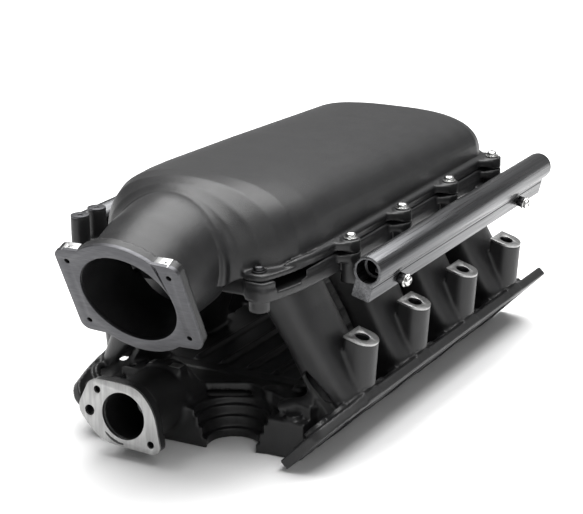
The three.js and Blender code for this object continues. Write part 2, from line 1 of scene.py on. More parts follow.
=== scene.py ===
"""Looks of the intake manifold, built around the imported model.

The castings are made as distance fields: each feature is a solid that blends into its neighbours with the
small fillets of a casting, and one skin is then drawn round the whole. Machined faces, rails and screws are
separate crisp meshes. Shapes are laid out in millimetres from the engine's datum: x from the middle,
y rearward from the first left injector, z up from the injector seats.
"""

import math

import bmesh
import bpy
import numpy as np
from mathutils import Matrix, Vector


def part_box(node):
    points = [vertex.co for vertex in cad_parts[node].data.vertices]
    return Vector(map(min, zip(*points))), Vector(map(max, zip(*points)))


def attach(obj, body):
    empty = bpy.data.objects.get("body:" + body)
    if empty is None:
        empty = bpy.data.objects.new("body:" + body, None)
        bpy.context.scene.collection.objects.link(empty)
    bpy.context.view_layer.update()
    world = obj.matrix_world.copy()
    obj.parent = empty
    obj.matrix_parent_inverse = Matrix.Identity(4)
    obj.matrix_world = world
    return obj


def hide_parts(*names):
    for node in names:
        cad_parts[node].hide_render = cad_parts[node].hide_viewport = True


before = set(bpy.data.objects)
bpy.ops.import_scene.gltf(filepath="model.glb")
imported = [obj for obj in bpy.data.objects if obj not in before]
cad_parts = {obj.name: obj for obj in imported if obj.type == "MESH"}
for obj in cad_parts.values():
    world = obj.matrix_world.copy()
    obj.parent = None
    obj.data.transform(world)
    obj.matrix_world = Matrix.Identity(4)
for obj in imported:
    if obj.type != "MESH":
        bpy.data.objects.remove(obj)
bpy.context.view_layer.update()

# ---- the engine's datum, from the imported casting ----
PLATE_REAR = 414.0
BASE_Z = -112.0
casting_low, casting_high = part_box("lower_manifold")
DATUM = Vector((0, casting_high[1] - PLATE_REAR / 1000, casting_low[2] - BASE_Z / 1000))

# ---- sizes, in millimetres ----
BORE_PITCH = 111.25
STAGGER = {1: 0.0, -1: -14.0}
TILT = math.radians(15.4)
INJECTOR_X = 133.0
FACE_INNER_X, FACE_PLANE, FACE_WIDTH = 96.7, 207.5, 73.2
PLATE_FRONT, PLATE_THICKNESS = -84.0, 11.0
JOINT_Z, LIP_TOP = 80.0, 86.0
THROTTLE_MIDDLE = Vector((0, -186.6, 73))
THROTTLE_LEAN = math.radians(25)
THROTTLE_BORE = 48.0
THROTTLE_SIDE, THROTTLE_EAR, THROTTLE_ARC, EAR_ROUND = 64.0, 48.0, 61.8, 9.0
THROTTLE_HOLES = [(u, v) for u in (-52.6, 52.6) for v in (-35.3, 35.3)]
WATER = Vector((-50, -130, -67.5))
WATER_BORE = 23.3
WATER_HOLES = ((-28, -45.5, 3.6, 20), (29.5, -90.5, 3.6, 20), (-37.5, -68, 5.2, 24))
RAIL_X, RAIL_Z, RAIL_FRONT, RAIL_REAR = 154.0, 76.0, -31.0, 365.0
RAIL_BOLT_YS = (26.0, 305.0)
POST_X, POST_YS = -70, (-155, -129)
PLATE_BOLTS = ((40, -60, 5.5), (49, -38, 8), (40, 55.6, 5.5), (40, 166.9, 5.5), (40, 278.1, 5.5),
               (40, 392, 5.5))
COVER_BOLTS = ((84, -104, 87), *((118, 5.5 + 106.6 * k, 92) for k in range(4)), (44, 354, 90))
SIDES = ((1, "left"), (-1, "right"))
INJECTOR_BORE = 7.0
PLUG_HEAD, PLUG_DEPTH = 13.5, 13.7
COLLAR = 6.3
FAR = 40  # the distance that a field starts from, away from everything
STEP = 1.6


# ---- distance fields ----
def smooth_min(a, b, blend):
    if blend <= 0:
        return np.minimum(a, b)
    h = np.clip(0.5 + 0.5 * (b - a) / blend, 0, 1)
    return b * (1 - h) + a * h - blend * h * (1 - h)


class Field:
    """A grid of distances to a solid, negative inside it."""

    def __init__(self, low, high, step):
        self.step = step
        self.axes = [np.arange(a, b + step, step, dtype=np.float32) for a, b in zip(low, high)]
        self.values = np.full([len(axis) for axis in self.axes], FAR, dtype=np.float32)

    def _block(self, low, high, margin):
        slices = tuple(
            slice(int(np.searchsorted(axis, a - margin)), int(np.searchsorted(axis, b + margin)) + 1)
            for axis, a, b in zip(self.axes, low, high)
        )
        x, y, z = (axis[part] for axis, part in zip(self.axes, slices))
        return slices, x[:, None, None], y[None, :, None], z[None, None, :]

    def add(self, low, high, distance, blend=0.0):
        slices, x, y, z = self._block(low, high, blend + 3 * self.step)
        self.values[slices] = smooth_min(self.values[slices], distance(x, y, z), blend)

    def cut(self, low, high, distance, blend=0.0):
        slices, x, y, z = self._block(low, high, blend + 3 * self.step)
        self.values[slices] = -smooth_min(-self.values[slices], distance(x, y, z), blend)


def box_distance(x0, x1, y0, y1, z0, z1, round_by=0.0):
    """Distance to a box with rounded edges."""
    def distance(x, y, z):
        dx = np.abs(x - (x0 + x1) / 2) - ((x1 - x0) / 2 - round_by)
        dy = np.abs(y - (y0 + y1) / 2) - ((y1 - y0) / 2 - round_by)
        dz = np.abs(z - (z0 + z1) / 2) - ((z1 - z0) / 2 - round_by)
        outside = np.sqrt(np.maximum(dx, 0) ** 2 + np.maximum(dy, 0) ** 2 + np.maximum(dz, 0) ** 2)
        return outside + np.minimum(np.maximum(np.maximum(dx, dy), dz), 0) - round_by
    return distance


def rod_distance(start, end, radius, end_radius=None):
    """Distance to a cylinder or cone with flat ends."""
    start, end = np.array(start, float), np.array(end, float)
    length = float(np.linalg.norm(end - start))
    along = (end - start) / length
    grow = ((radius if end_radius is None else end_radius) - radius) / length

    def distance(x, y, z):
        px, py, pz = x - start[0], y - start[1], z - start[2]
        t = px * along[0] + py * along[1] + pz * along[2]
        away = np.sqrt(np.maximum(px * px + py * py + pz * pz - t * t, 0))
        side = away - radius - grow * t
        cap = np.abs(t - length / 2) - length / 2
        outside = np.sqrt(np.maximum(side, 0) ** 2 + np.maximum(cap, 0) ** 2)
        return np.minimum(np.maximum(side, cap), 0) + outside
    return distance


def tube_distance(points, radii):
    """Distance to a round tube of changing radius along a line of points."""
    def distance(x, y, z):
        best = None
        for (a, b), (ra, rb) in zip(zip(points, points[1:]), zip(radii, radii[1:])):
            a, b = np.array(a, float), np.array(b, float)
            v = b - a
            t = ((x - a[0]) * v[0] + (y - a[1]) * v[1] + (z - a[2]) * v[2]) / float(v @ v)
            t = np.clip(t, 0, 1)
            px, py, pz = a[0] + t * v[0], a[1] + t * v[1], a[2] + t * v[2]
            d = np.sqrt((x - px) ** 2 + (y - py) ** 2 + (z - pz) ** 2) - (ra + (rb - ra) * t)
            best = d if best is None else np.minimum(best, d)
        return best
    return distance


def outline_distance(outline, u, v):
    """Distance in a plane to a closed outline."""
    u, v = np.broadcast_arrays(u, v)
    nearest = np.full(u.shape, 1e9)
    inside = np.zeros(u.shape, bool)
    for (ax, ay), (bx, by) in zip(outline, outline[1:] + outline[:1]):
        ex, ey = bx - ax, by - ay
        wx, wy = u - ax, v - ay
        t = np.clip((wx * ex + wy * ey) / (ex * ex + ey * ey), 0, 1)
        nearest = np.minimum(nearest, (wx - ex * t) ** 2 + (wy - ey * t) ** 2)
        crosses = (ay > v) != (by > v)
        if ey:
            inside ^= crosses & (u < ex * (v - ay) / ey + ax)
    return np.where(inside, -1, 1) * np.sqrt(nearest)


def slab(flat, across, low, high):
    """A flat shape's distance, given thickness from low to high along another direction."""
    cap = np.maximum(low - across, across - high)
    outside = np.sqrt(np.maximum(flat, 0) ** 2 + np.maximum(cap, 0) ** 2)
    return np.minimum(np.maximum(flat, cap), 0) + outside


def rounded(corners, segments=5):
    """Points of an outline whose corners are rounded: each corner is (x, y, radius)."""
    points = []
    for i, (x, y, radius) in enumerate(corners):
        corner = Vector((x, y))
        before = Vector(corners[i - 1][:2]) - corner
        after = Vector(corners[(i + 1) % len(corners)][:2]) - corner
        if radius <= 0:
            points.append((x, y))
            continue
        entry, leave = corner + before.normalized() * radius, corner + after.normalized() * radius
        for k in range(segments + 1):
            t = k / segments
            p = entry * (1 - t) ** 2 + corner * 2 * t * (1 - t) + leave * t * t
            points.append((p.x, p.y))
    return points


def both_halves(corners):
    return list(corners) + [(-x, *rest) for x, *rest in reversed(corners)]


def grown(corners, amount):
    return [(x + math.copysign(amount, x), y + math.copysign(amount, y - 100), r) for x, y, r in corners]


# ---- a skin round a field ----
def skin(field, name):
    """Draws a mesh of quads through the field's zero surface, one vertex in each cell that it crosses."""
    values = field.values
    inside = values < 0
    corners = [(i, j, k) for i in (0, 1) for j in (0, 1) for k in (0, 1)]

    def corner(array, c):
        return array[tuple(slice(o, n - 1 + o) for o, n in zip(c, array.shape))]

    total = sum(corner(inside, c).astype(np.int8) for c in corners)
    cells = (total > 0) & (total < 8)
    index = np.full(cells.shape, -1, np.int32)
    where = np.argwhere(cells)
    index[cells] = np.arange(len(where))
    sums = np.zeros((len(where), 3))
    count = np.zeros(len(where))
    edges = [(a, b) for a in corners for b in corners if sum(np.abs(np.subtract(a, b))) == 1 and a < b]
    for a, b in edges:
        va = values[tuple((where + a).T)]
        vb = values[tuple((where + b).T)]
        crossed = (va < 0) != (vb < 0)
        t = np.where(crossed, va / np.where(va == vb, 1, va - vb), 0)
        point = np.array(a) + t[:, None] * (np.array(b) - np.array(a))
        sums += point * crossed[:, None]
        count += crossed
    verts = where + sums / count[:, None]
    quads = []
    for axis in range(3):
        u, v = [(1, 2), (2, 0), (0, 1)][axis]
        shape = list(enumerate(inside.shape))
        low = inside[tuple(slice(0, n - 1) if i == axis else slice(1, n - 1) for i, n in shape)]
        high = inside[tuple(slice(1, n) if i == axis else slice(1, n - 1) for i, n in shape)]
        for leaving in (True, False):
            at = np.argwhere((low & ~high) if leaving else (~low & high))
            at[:, [i for i in range(3) if i != axis]] += 1
            du, dv = np.eye(3, dtype=int)[u], np.eye(3, dtype=int)[v]
            ring = [at - du - dv, at - dv, at, at - du]
            quad = np.stack([index[tuple(p.T)] for p in ring], axis=1)
            quads.append(quad if leaving else quad[:, ::-1])
    quads = np.concatenate(quads)
    quads = quads[(quads >= 0).all(axis=1)]
    low = np.array([axis[0] for axis in field.axes])
    places = (low + verts * field.step) / 1000 + np.array(DATUM)
    return quads_object(name, places, quads)


def quads_object(name, places, quads):
    mesh = bpy.data.meshes.new(name)
    mesh.vertices.add(len(places))
    mesh.vertices.foreach_set("co", places.astype(np.float32).ravel())
    mesh.loops.add(len(quads) * 4)
    mesh.loops.foreach_set("vertex_index", quads.astype(np.int32).ravel())
    mesh.polygons.add(len(quads))
    mesh.polygons.foreach_set("loop_start", np.arange(0, len(quads) * 4, 4, dtype=np.int32))
    mesh.update(calc_edges=True)
    mesh.validate()
    mesh.shade_smooth()
    obj = bpy.data.objects.new(name, mesh)
    bpy.context.scene.collection.objects.link(obj)
    return obj


# ---- the lower casting ----
# z, x of the middle, half-width across and half-length along the engine
RUNNER_LEVELS = ((-100, 124.0, 33, 33), (-87, 120.5, 32, 33), (-45, 108, 25, 33), (-8, 93, 23, 34),
                 (32, 74, 24.5, 35), (70, 58, 26, 36))
RUNNER_FAN = (-24, -16, -19, -26)
RUNNER_WALL = 4.5
JOINT_OUTER = ((66, -102, 4), (73, -113, 6), (93, -115, 9), (105, -72, 24), (109, -10, 20), (109, 346, 30))
JOINT_INNER = ((76, -100, 8), (103, -74, 24), (109, -10, 20), (109, 346, 30))


def runner_distance(sign, y_port, fan, inset=0.0):
    levels = np.array([row[0] for row in RUNNER_LEVELS], float)
    xs, across, along = (np.array([row[i] for row in RUNNER_LEVELS], float) for i in (1, 2, 3))
    slope = math.cos(math.radians(28))

    def distance(x, y, z):
        middle = np.interp(z, levels, xs)
        a = np.interp(z, levels, across) - inset / slope
        b = np.interp(z, levels, along) - inset
        shift = fan * np.clip((z + 60) / 122, 0, 1)
        u = np.abs((x * sign - middle) / a)
        v = np.abs((y - y_port - shift) / b)
        reach = (u ** 3.2 + v ** 3.2) ** (1 / 3.2)
        flat = (reach - 1) * np.minimum(a * slope, b)
        return np.maximum(flat, z - (96 if inset else 72))
    return distance


def plate_coordinates(sign, x, z):
    """Across a head plate from its inner edge, and lift off its face."""
    dx = x * sign - FACE_INNER_X
    dz = z + FACE_PLANE - FACE_INNER_X
    return (dx + dz) * math.sqrt(0.5), (dz - dx) * math.sqrt(0.5)


def plate_point(sign, across, y, lift):
    x = FACE_INNER_X + (across - lift) * math.sqrt(0.5)
    return (sign * x, y, FACE_INNER_X - FACE_PLANE + (across + lift) * math.sqrt(0.5))


def injector_coordinates(sign, x, z):
    dx = x * sign - INJECTOR_X
    return dx * math.cos(TILT) - z * math.sin(TILT), dx * math.sin(TILT) + z * math.cos(TILT)


def injector_point(sign, y, out, up):
    x = INJECTOR_X + out * math.cos(TILT) + up * math.sin(TILT)
    return (sign * x, y, -out * math.sin(TILT) + up * math.cos(TILT))


def side_box(sign, x0, x1):
    return (x0, x1) if sign > 0 else (-x1, -x0)


def plate_outline(sign, shrink=0.0):
    """A head plate from above its face: across from the inner edge, and along the engine."""
    front, rear = PLATE_FRONT + STAGGER[sign] + shrink, PLATE_REAR + STAGGER[sign] - shrink
    edge = FACE_WIDTH - shrink
    return rounded(((shrink, front, 3), (46, front, 4), (58 - shrink / 2, front + 8, 8),
                    (edge, front + 62, 30), (edge, rear, 5), (shrink, rear, 3)))


def add_head_plate(field, sign):
    outline = plate_outline(sign, 0.6)

    def distance(x, y, z):
        across, lift = plate_coordinates(sign, x, z)
        return slab(split_outline_distance(outline, across, y), lift, 0.6, PLATE_THICKNESS - 0.3)
    x0, x1 = side_box(sign, 85, 152)
    field.add((x0, PLATE_FRONT + STAGGER[sign], -114), (x1, PLATE_REAR + STAGGER[sign], -50), distance)


def split_outline_distance(outline, u, v):
    """outline_distance for u that spans x and z, and v along y, worked out slice by slice."""
    u, v = np.broadcast_arrays(u, v)
    result = np.empty(u.shape)
    for i in range(u.shape[0]):
        result[i] = outline_distance(outline, u[i], v[i])
    return result


def add_plate_pads(field, sign):
    for across, y, radius in PLATE_BOLTS:
        y += STAGGER[sign]
        start, end = plate_point(sign, across, y, 2), plate_point(sign, across, y, PLATE_THICKNESS + 5)
        low, high = np.minimum(start, end) - radius - 8, np.maximum(start, end) + radius + 8
        field.add(low, high, rod_distance(start, end, radius + 6.5), 2.5)
        if across == 40 and 0 < y < 350:
            for dy in (-15, 15):
                start = plate_point(sign, 55, y + dy, 2)
                end = plate_point(sign, 55, y + dy, PLATE_THICKNESS + 3)
                low, high = np.minimum(start, end) - 10, np.maximum(start, end) + 10
                field.add(low, high, rod_distance(start, end, 8), 4)


def cut_plate_holes(field, sign):
    for across, y, radius in PLATE_BOLTS:
        y += STAGGER[sign]
        start, end = plate_point(sign, across, y, -4), plate_point(sign, across, y, 60)
        low, high = np.minimum(start, end) - radius, np.maximum(start, end) + radius
        field.cut(low, high, rod_distance(start, end, radius))
        if across == 40 and 0 < y < 350:
            for dy in (-15, 15):
                start = plate_point(sign, 55, y + dy, 7)
                end = plate_point(sign, 55, y + dy, 30)
                low, high = np.minimum(start, end) - 6, np.maximum(start, end) + 6
                field.cut(low, high, rod_distance(start, end, 3.2))


BOSS_HALF, BOSS_FLAT, BOSS_SHIFT, BOSS_LEAN = 15.5, -13.0, 1.2, 4.0


def add_injector_boss(field, sign, y0):
    """A D-shaped boss with upright sides, and a foot that slopes to the edge of the head plate."""
    y0 += BOSS_SHIFT

    def column(x, y, z):
        out, up = injector_coordinates(sign, x, z)
        down = np.maximum(-z, 0)
        across = (x * sign - INJECTOR_X + BOSS_LEAN * down / 46) / math.cos(TILT)
        dy = y - y0
        flat = np.where(across > 0, np.hypot(across, dy) - BOSS_HALF,
                        np.maximum(np.abs(dy) - BOSS_HALF, BOSS_FLAT - across))
        flat = np.maximum(flat, -(across - BOSS_FLAT)) * 0.97
        return np.maximum(np.maximum(flat, up + 1.1), -48 - z)

    def foot(x, y, z):
        across, lift = plate_coordinates(sign, x, z)
        flat = np.maximum(np.maximum(30 - across, across - FACE_WIDTH + 1.5), np.abs(y - y0) - 11.5)
        return slab(flat, lift, 4, 25 - np.clip(across - 52, 0, 30) * 0.5)

    x0, x1 = side_box(sign, 90, 152)
    field.add((x0, y0 - 17, -72), (x1, y0 + 17, 4), foot, 3)
    field.add((x0, y0 - 17, -54), (x1, y0 + 17, 6), column, 4)


CROSSOVER = ((-100, -62, 0), (-45, -47, 4), (19, -12, 6), (90, -42, 4), (100, -42, 0), (100, 12, 0),
             (-100, 12, 0))
FRONT_WALL = ((-100, -70, 0), (0, -70, 6), (62, -55, 8), (100, -55, 0), (100, -8, 0),
              (-100, -8, 0))
POCKET = Vector((24, -56))
POCKET_STEPS = ((25, -116, -101), (29, -103, -90), (33, -92, -80), (37, -82, -72))
POCKET_TOP = -75
TAB_HOLES = ((-90, -52, -50, 3.2), (-76, -44, -50, 3.2), (-97, -84, -60, 3), (-97, -70, -60, 3))


def flat_layer(corners, low, high):
    """An outline in x and y, given thickness upwards."""
    outline = rounded(corners)

    def distance(x, y, z):
        plan = outline_distance(outline, x[:, :, 0] + 0 * y[:, :, 0], 0 * x[:, :, 0] + y[:, :, 0])
        return slab(plan[:, :, None], z, low, high)
    return distance


def add_valley(field):
    """The plate between the heads, its end walls, and the crossover that bends round the distributor."""
    field.add((-102, -4, -72), (102, 386, -60), box_distance(-100, 100, -2, 384, -70, -62, 1), 2)
    for x in range(-60, 61, 30):
        field.add((x - 3, 0, -66), (x + 3, 370, -56),
                  box_distance(x - 2.5, x + 2.5, 16, 366, -66, -58, 2), 3)
    field.add((-102, -64, -92), (102, 14, -60), flat_layer(CROSSOVER, BASE_Z + 22, -62.4), 3)
    field.add((-102, -72, -114), (102, -6, -72), flat_layer(FRONT_WALL, BASE_Z, POCKET_TOP), 4)
    field.add((-102, 366, -114), (102, 390, -60), box_distance(-100, 100, 368, 388, BASE_Z, -62, 2.5), 3)


def add_front_details(field):
    """Cast ribs, bosses and pads round the coolant crossover."""
    field.add((64, -56, -84), (100, -26, -52), rod_distance((66, -40, -70), (98, -30, -60), 6.5), 5)
    field.add((-30, -64, -80), (-14, -30, -62), box_distance(-27, -19, -60, -36, -80, -66, 3), 4)
    for x, y, z, radius in ((84, -46, -74, 8), (-84, -56, -62, 8), (44, -18, -66, 7), (70, -8, -62, 6)):
        field.add((x - 9, y - 9, z - 10), (x + 9, y + 9, z + 6),
                  rod_distance((x, y, z - 8), (x, y, z + 4), radius), 3)
    field.add((-108, -70, -62), (-58, -28, -46), box_distance(-99, -66, -60, -34, -60, -50, 2), 3)
    field.add((-118, -104, -72), (-84, -56, -56), box_distance(-106, -88, -96, -62, -72, -60, 3), 3)


def cut_distributor_pocket(field):
    for radius, low, high in POCKET_STEPS:
        x, y = POCKET
        field.cut((x - radius, y - radius, low), (x + radius, y + radius, high),
                  rod_distance((x, y, low), (x, y, high), radius), 1.2)


def joint_layer(corners, low, high):
    return flat_layer(both_halves(corners), low, high)


def add_ears(field, low, top_of, radius=9.5):
    """Screw bosses round the joint; the bosses out at the side walls each sit on a pad that widens towards
    the wall.
    """
    for bolt_x, bolt_y, seat in COVER_BOLTS:
        for sign, _ in SIDES:
            x, top = sign * bolt_x, top_of(seat)
            field.add((x - 12, bolt_y - 12, low), (x + 12, bolt_y + 12, top),
                      rod_distance((x, bolt_y, low), (x, bolt_y, top), radius), 1.5)
            if bolt_x < 100:
                continue
            pad = [(x - sign * 16, bolt_y - 19), (x + sign * 5, bolt_y - 8.5), (x + sign * 5, bolt_y + 8.5),
                   (x - sign * 16, bolt_y + 19)]

            def distance(px, py, pz, pad=pad, low=max(low, top - 9), top=top):
                flat = outline_distance(pad, px[:, :, 0] + 0 * py[:, :, 0], 0 * px[:, :, 0] + py[:, :, 0])
                return slab(flat[:, :, None] - 1, pz, low, top - 1.6)
            field.add((x - 20, bolt_y - 22, low), (x + 20, bolt_y + 22, top), distance, 1.5)


def add_water_outlet(field):
    outline = water_outline(-0.5)

    def plate(x, y, z):
        flat = outline_distance(outline, x + 0 * z, 0 * x + z)
        return slab(flat, y, WATER.y + 1.6, WATER.y + 12)
    field.add((-110, -131, -105), (-8, -117, -30), plate)
    start, end = (WATER.x, WATER.y + 6, WATER.z), (WATER.x - 4, -40, WATER.z - 9)
    field.add((-92, -126, -112), (-14, -38, -36), rod_distance(start, end, 29, 34), 9)
    field.add((-80, -66, -60), (-20, -40, -38), box_distance(-68, -30, -62, -46, -60, -40.5, 3), 5)


def water_outline(grow=0.0):
    x = WATER.x
    return rounded(((x - 36 - grow, -35.5 + grow, 9), (x - 52 - grow, -67, 9), (x - 29, -97 - grow, 19),
                    (x + 34, -100.5 - grow, 5), (x + 40 + grow, -94, 3), (x + 34 + grow, -56, 12),
                    (x + 17, -35.5 + grow, 12)))


def cut_water_passages(field):
    x, y, z = WATER
    field.cut((x - 26, y - 2, z - 26), (x + 26, y + 5, z + 26),
              rod_distance((x, y - 2, z), (x, y + 5, z), WATER_BORE + 2.5))
    field.cut((x - 24, y, z - 32), (x + 24, -58, z + 24),
              rod_distance((x, y, z), (x, -60, z - 6), WATER_BORE))
    field.cut((-140, -82, -118), (-40, -20, -60),
              rod_distance((x, -64, z - 8), (-128, -34, -112), 16, 14), 2)
    field.cut((x, -52, -86), (32, 6, -68), rod_distance((x, -44, -76), (24, -3, -77), 7.5))
    field.cut((16, -40, -122), (126, 6, -68), rod_distance((24, -3, -77), (119, -32, -114), 7.5))
    for dx, hole_z, radius, _ in WATER_HOLES:
        field.cut((x + dx - 5, y - 2, hole_z - 5), (x + dx + 5, y + 16, hole_z + 5),
                  rod_distance((x + dx, y - 1, hole_z), (x + dx, y + 15, hole_z), radius))


def add_rail_stands(field, sign):
    for y0 in RAIL_BOLT_YS:
        profile = [(98, 63), (98, 54), (112, 50), (134.8, 51.5), (138, 62.5), (118, 66)]

        def distance(x, y, z, y0=y0):
            flat = outline_distance(profile, x * sign + 0 * z, 0 * x + z)
            return slab(flat, y, y0 - 9, y0 + 9)
        x0, x1 = side_box(sign, 96, 140)
        field.add((x0, y0 - 10, 48), (x1, y0 + 10, 67), distance, 1.5)


def make_lower_casting():
    field = Field((-150, -136, -118), (150, 420, 86), STEP)
    for sign, _ in SIDES:
        add_head_plate(field, sign)
    add_valley(field)
    field.add((-116, -120, 70), (116, 350, 82), joint_layer(grown(JOINT_OUTER, 2), 72.5, JOINT_Z))
    field.add((-116, -120, 60), (116, 350, 74), joint_layer(grown(JOINT_OUTER, -3), 62, 73))
    for sign, _ in SIDES:
        for k in range(4):
            y = k * BORE_PITCH + STAGGER[sign]
            x0, x1 = side_box(sign, 25, 150)
            fan = RUNNER_FAN[k] - STAGGER[sign]
            field.add((x0, y - 62, -112), (x1, y + 74, 72), runner_distance(sign, y, fan), 5)
    for sign, _ in SIDES:
        for k in range(4):
            add_injector_boss(field, sign, k * BORE_PITCH + STAGGER[sign])
        add_plate_pads(field, sign)
        add_rail_stands(field, sign)
    add_ears(field, 50, lambda seat: JOINT_Z)
    add_front_details(field)
    add_water_outlet(field)
    cut_distributor_pocket(field)
    cut_water_passages(field)
    for x, y, z, radius in TAB_HOLES:
        field.cut((x - radius, y - radius, z - 9), (x + radius, y + radius, z + 2),
                  rod_distance((x, y, z - 8), (x, y, z + 2), radius), 0.6)
    field.cut((-100, -95, 70), (100, 335, 84), joint_layer(grown(JOINT_INNER, -18), 70, 90))
    for sign, _ in SIDES:
        cut_plate_holes(field, sign)
        for k in range(4):
            y = k * BORE_PITCH + STAGGER[sign]
            fan = RUNNER_FAN[k] - STAGGER[sign]
            x0, x1 = side_box(sign, 25, 160)
            field.cut((x0, y - 62, -118), (x1, y + 74, 84), runner_distance(sign, y, fan, RUNNER_WALL))
            start, end = injector_point(sign, y, 0, 3), injector_point(sign, y, 0, -50)
            low, high = np.minimum(start, end) - 8, np.maximum(start, end) + 8
            field.cut(low, high, rod_distance(start, end, INJECTOR_BORE))
        x0, x1 = side_box(sign, 60, 160)
        field.cut((x0, -136, -118), (x1, 420, -45),
                  lambda x, y, z, sign=sign: plate_coordinates(sign, x, z)[1] + 0 * y)
    field.cut((-150, -136, -118), (150, 420, BASE_Z), lambda x, y, z: z - BASE_Z + 0 * x + 0 * y)
    return skin(field, "lower_casting")


# ---- the plenum cover ----
# y, half-width, top, squareness of the shoulders
DOME_STATIONS = ((-116, 50, 118, 2.2), (-108, 68, 137, 2.3), (-96, 82, 149, 2.4), (-80, 93, 155.5, 2.6),
                 (-60, 100, 156.5, 2.8), (-30, 104, 154.5, 3.0), (0, 105, 153, 3.1),
                 (120, 105, 147.5, 3.1), (250, 105, 140, 3.1), (318, 105, 136, 3.1),
                 (332, 101.5, 133, 3.0), (341, 94, 126.5, 2.8), (347, 82, 115, 2.6), (350, 66, 104, 2.4))
DOME_FOOT = 86.0
NECK_POINTS = ((0, -190, 69.7), (0, -178, 75.3), (0, -160, 83.2), (0, -140, 90.5), (0, -118, 94.5),
               (0, -92, 94), (0, -60, 90))
NECK_RADII = (54.5, 54.5, 55, 56, 57, 54.5, 48)
NECK_BORE = ((0, -215, 58.1), *NECK_POINTS)
NECK_BORE_RADII = (THROTTLE_BORE, THROTTLE_BORE, THROTTLE_BORE, 49, 50, 50, 48, 42)
COVER_WALL = 5.5
FLANGE_SETBACK = 1.2  # the casting stops this far behind the machined face


def dome_distance(inset=0.0):
    ys = np.array([row[0] for row in DOME_STATIONS], float)
    widths, tops, squares = (np.array([row[i] for row in DOME_STATIONS], float) for i in (1, 2, 3))

    def distance(x, y, z):
        y_in = np.clip(y - inset * np.clip(-y / 60, 0, 1.4), ys[0] + inset, ys[-1] - inset)
        a = np.interp(y_in, ys, widths) - inset
        up = np.interp(y_in, ys, tops) - DOME_FOOT - inset
        n = np.interp(y_in, ys, squares)
        v = np.maximum(z - DOME_FOOT, 0) / up
        reach = (np.abs(x / a) ** n + v ** n) ** (1 / n)
        flat = (reach - 1) * np.minimum(a, up) * 0.9
        ends = np.maximum(ys[0] + inset - y, y - (ys[-1] - inset))
        floor = JOINT_Z - 10 if inset else JOINT_Z + 0.3
        return np.maximum(np.maximum(flat, floor - z), ends)
    return distance


def throttle_coordinates(x, y, z):
    """Across, up and out of the throttle flange's face."""
    dy, dz = y - THROTTLE_MIDDLE.y, z - THROTTLE_MIDDLE.z
    up = -dy * math.sin(THROTTLE_LEAN) + dz * math.cos(THROTTLE_LEAN)
    out = -dy * math.cos(THROTTLE_LEAN) - dz * math.sin(THROTTLE_LEAN)
    return x, up, out


def throttle_point(u, v, w):
    c, s = math.cos(THROTTLE_LEAN), math.sin(THROTTLE_LEAN)
    return (u, THROTTLE_MIDDLE.y - v * s - w * c, THROTTLE_MIDDLE.z + v * c - w * s)


def throttle_outline(shrink=0.0):
    """Straight sides, ears at the corners and a round top and bottom between them."""
    side, ear, arc = THROTTLE_SIDE - shrink, THROTTLE_EAR - shrink, THROTTLE_ARC - shrink
    start = math.asin(ear / arc) + 0.02
    corner = [(side - EAR_ROUND * (1 - math.cos(a)), ear - EAR_ROUND * (1 - math.sin(a)))
              for a in np.linspace(0, math.pi / 2, 8)]
    corner += [(arc * math.cos(a), arc * math.sin(a)) for a in np.linspace(start, math.pi / 2, 16)]
    half = corner + [(-u, v) for u, v in reversed(corner[:-1])]
    return half + [(-u, -v) for u, v in half]


def add_throttle_flange(field):
    def distance(x, y, z):
        u, v, w = throttle_coordinates(x, y, z)
        side, ear, arc = THROTTLE_SIDE - 0.5, THROTTLE_EAR - 0.5, THROTTLE_ARC - 0.5
        dx, dy = np.abs(u) - side + EAR_ROUND, np.abs(v) - ear + EAR_ROUND
        corner = np.hypot(np.maximum(dx, 0), np.maximum(dy, 0))
        block = corner + np.minimum(np.maximum(dx, dy), 0) - EAR_ROUND
        disc = np.maximum(np.hypot(u, v) - arc, np.abs(u) - side)
        return slab(np.minimum(block, disc), w, -12, -FLANGE_SETBACK)
    field.add((-66, -216, 8), (66, -136, 136), distance, 2.5)


def add_posts(field):
    for y in POST_YS:
        field.add((-80, y - 10, 84), (-60, y + 10, 133),
                  rod_distance((POST_X, y, 88), (POST_X, y, 131.8), 8.5), 1.5)
    field.add((-80, -165, 86), (-44, -120, 108), box_distance(-77, -46, -162, -122, 88, 104, 4), 4)


def add_bead(field):
    """The rounded ridge along the foot of the wall, which starts at a horn beside each front screw."""
    half = [(97, -79, 87.5), (101, -68, 88), (105, -48, 88.2), (107, -10, 88.2), (107, 316, 88.2),
            (103, 335, 88.2), (93, 346, 88.2), (76, 350, 88.2), (0, 351, 88.2)]
    radii = [1.6] + [3.4] * (len(half) - 1)
    for sign, _ in SIDES:
        points = [(sign * x, y, z) for x, y, z in half]
        x0, x1 = side_box(sign, 0, 112)
        field.add((x0, -84, 82), (x1, 356, 92), tube_distance(points, radii), 1.5)


